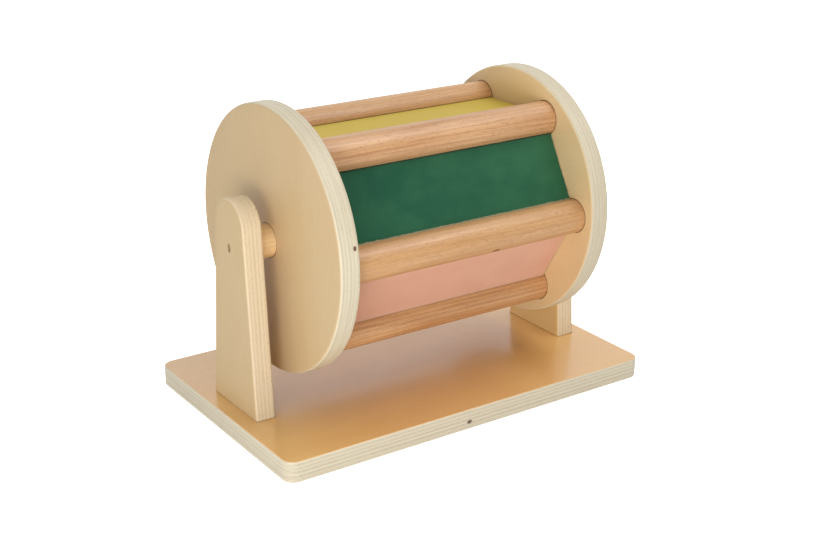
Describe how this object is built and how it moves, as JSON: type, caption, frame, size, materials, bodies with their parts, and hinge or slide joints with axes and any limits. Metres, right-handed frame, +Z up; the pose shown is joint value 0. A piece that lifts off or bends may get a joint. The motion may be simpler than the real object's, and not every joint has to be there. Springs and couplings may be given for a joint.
{
  "type": "spinning drum toy",
  "caption": "Wooden spinning drum toy: round discs joined by rods with coloured flat sides between them, turning on an axle between tapered uprights on a base board.",
  "frame": {"origin": "centre of the base board's underside, which is also the bottom centre of the whole object", "axes": "+X along the drum's axle and the base board's length, from the left upright to the right one; +Y from front to back; +Z up"},
  "size_m": [0.302, 0.186, 0.2215],
  "materials": {
    "base_birch": "satin clear-coated birch plywood",
    "upright_birch": "satin birch plywood with plies showing on the edges",
    "disc_birch": "satin birch plywood with plies showing on the rim",
    "rod_beech": "satin oiled beech",
    "axle_beech": "satin oiled beech",
    "yellow_paint": "matt muted yellow paint on thin board",
    "green_paint": "matt deep green paint on thin board",
    "pink_paint": "matt salmon pink paint on thin board",
    "blue_paint": "matt muted blue paint on thin board",
    "orange_paint": "matt muted orange paint on thin board",
    "lilac_paint": "matt muted lilac paint on thin board",
    "screw_steel": "zinc-plated steel",
    "filler_paste": "dull wood filler"
  },
  "bodies": {
    "stand": {"base_board": "base_birch", "left_upright": "upright_birch", "right_upright": "upright_birch", "left_front_screw": "screw_steel", "left_back_screw": "screw_steel", "right_front_screw": "screw_steel", "right_back_screw": "screw_steel", "left_filler": "filler_paste", "right_filler": "filler_paste"},
    "drum": {"left_disc": "disc_birch", "right_disc": "disc_birch", "rod_1": "rod_beech", "rod_2": "rod_beech", "rod_3": "rod_beech", "rod_4": "rod_beech", "rod_5": "rod_beech", "rod_6": "rod_beech", "yellow_panel": "yellow_paint", "green_panel": "green_paint", "pink_panel": "pink_paint", "blue_panel": "blue_paint", "orange_panel": "orange_paint", "lilac_panel": "lilac_paint", "axle": "axle_beech"}
  },
  "joints": [
    {"name": "drum_spin", "type": "hinge", "parent": "stand", "child": "drum", "pos_m": [0, 0, 0.13], "axis": [1, 0, 0], "continuous": true}
  ]
}
